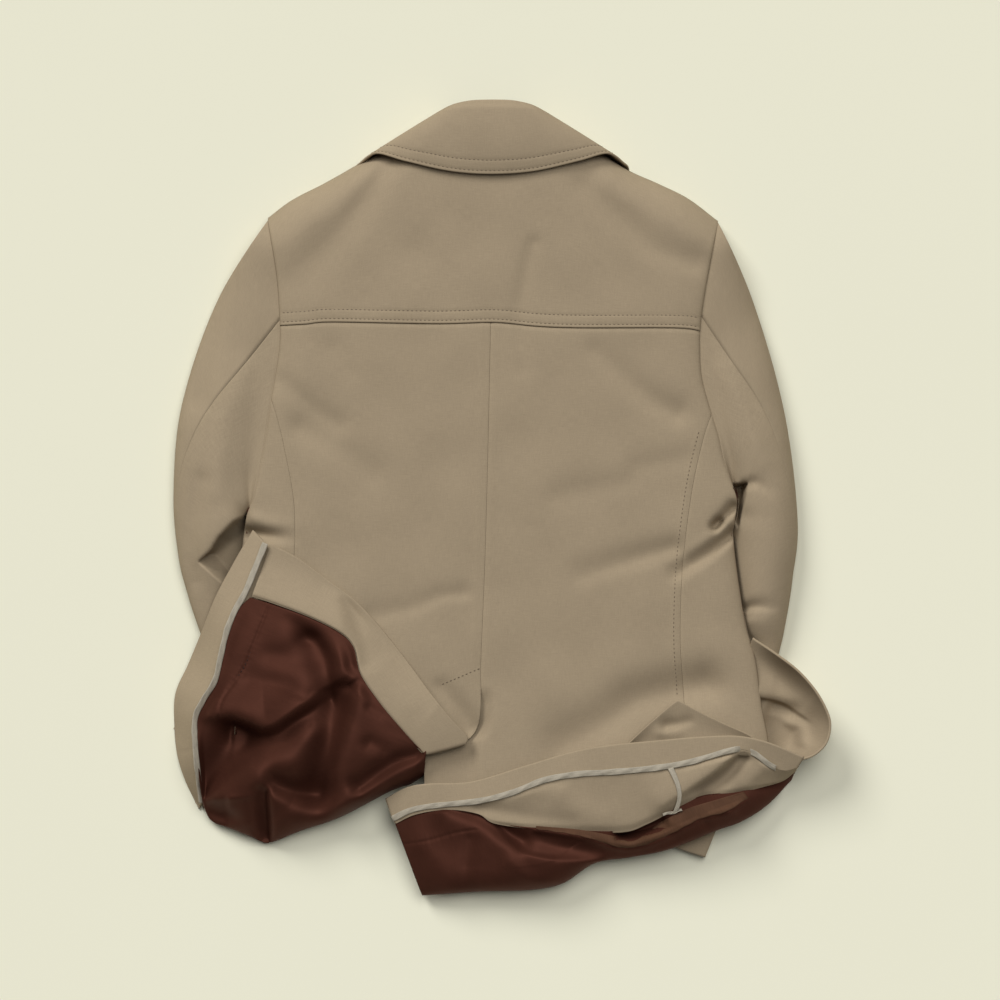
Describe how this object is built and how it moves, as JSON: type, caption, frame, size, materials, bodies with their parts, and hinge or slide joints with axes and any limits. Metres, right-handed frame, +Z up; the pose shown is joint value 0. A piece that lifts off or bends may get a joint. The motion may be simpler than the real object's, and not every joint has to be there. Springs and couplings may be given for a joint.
{
  "type": "car coat",
  "caption": "Hip-length lined car coat lying face down, back uppermost, its vented skirt turned up to show facings, binding tape and satin lining.",
  "frame": {"origin": "on the surface the coat lies on, under the middle of its bounding box", "axes": "+Z up from the surface, out of the coat's back; +Y towards the collar; +X to the right as seen in the picture"},
  "size_m": [0.659, 0.798, 0.0569],
  "materials": {
    "shell_cloth": "smooth matte taupe wool twill with a short nap",
    "lining_satin": "dark reddish-brown satin with a soft sheen",
    "binding_tape": "cream woven binding tape and ribbon"
  },
  "bodies": {
    "root": {"back_yoke": "shell_cloth", "back_left": "shell_cloth", "back_right": "shell_cloth", "side_left": "shell_cloth", "side_right": "shell_cloth", "front_left": "shell_cloth", "front_right": "shell_cloth", "sleeve_left_upper": "shell_cloth", "sleeve_left_under": "shell_cloth", "sleeve_right_upper": "shell_cloth", "sleeve_right_under": "shell_cloth", "collar_fall": "shell_cloth", "collar_stand": "shell_cloth", "vent_facing_left": "shell_cloth", "hem_facing_left": "shell_cloth", "hem_facing_right": "shell_cloth", "shell_inside_right": "shell_cloth", "side_hem_right": "shell_cloth", "side_hem_facing_right": "shell_cloth", "hem_corner_right": "shell_cloth", "skirt_layers_left": "shell_cloth", "skirt_layers_right": "shell_cloth", "lining_left": "lining_satin", "lining_right": "lining_satin", "lining_hem_right": "lining_satin", "hem_tape_left": "binding_tape", "hem_tape_right": "binding_tape", "lining_tack": "binding_tape", "tack_tab": "binding_tape"}
  },
  "joints": []
}
